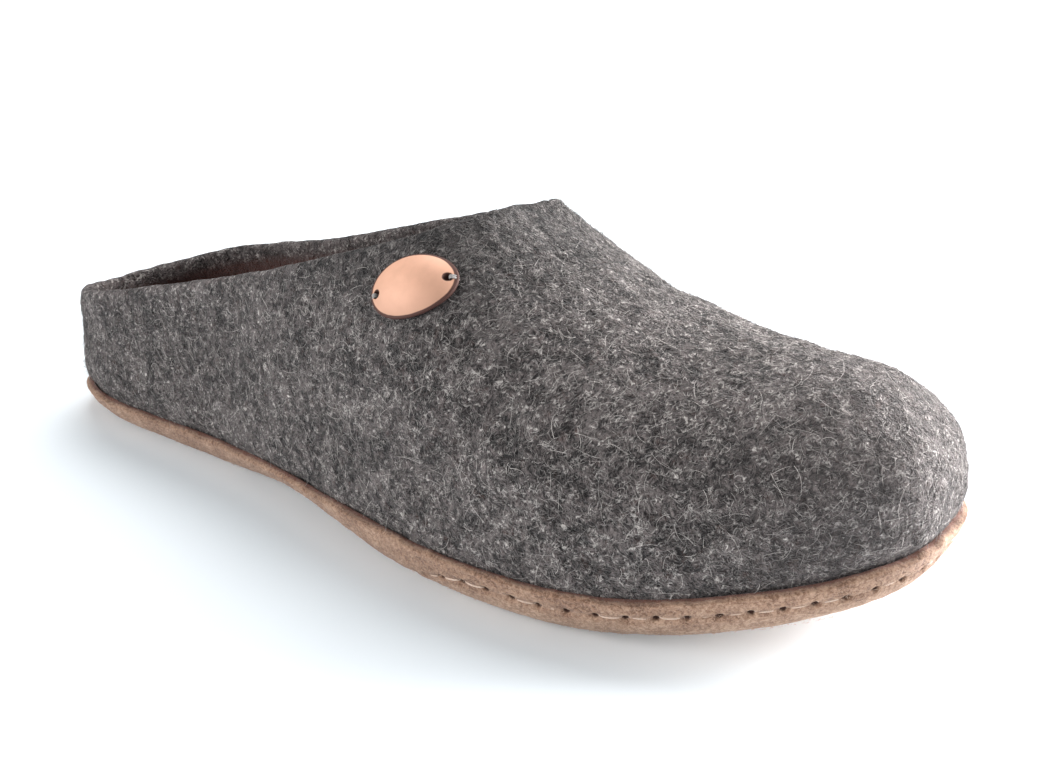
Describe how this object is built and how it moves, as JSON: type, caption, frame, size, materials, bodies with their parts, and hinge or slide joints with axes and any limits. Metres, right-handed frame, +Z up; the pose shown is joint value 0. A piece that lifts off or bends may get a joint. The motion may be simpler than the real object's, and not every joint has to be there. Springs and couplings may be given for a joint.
{
  "type": "slipper",
  "caption": "Backless wool felt house slipper for the right foot, with a low heel collar, a turned-up suede sole and a small oval copper plate.",
  "frame": {"origin": "middle of the slipper's bounding box, on the floor that it stands on", "axes": "+X from the heel to the toe, +Y towards the inner side of the foot, +Z up"},
  "size_m": [0.2802, 0.1082, 0.085],
  "materials": {
    "suede_leather": "matt tan suede with a fine nap and a darker cut edge",
    "grey_felt": "thick mottled grey wool felt with loose light hairs",
    "dark_felt": "dark brown-grey felt",
    "copper": "satin copper with a browned edge"
  },
  "bodies": {
    "root": {"outsole": "suede_leather", "upper": "grey_felt", "insole": "dark_felt", "badge": "copper"}
  },
  "joints": []
}
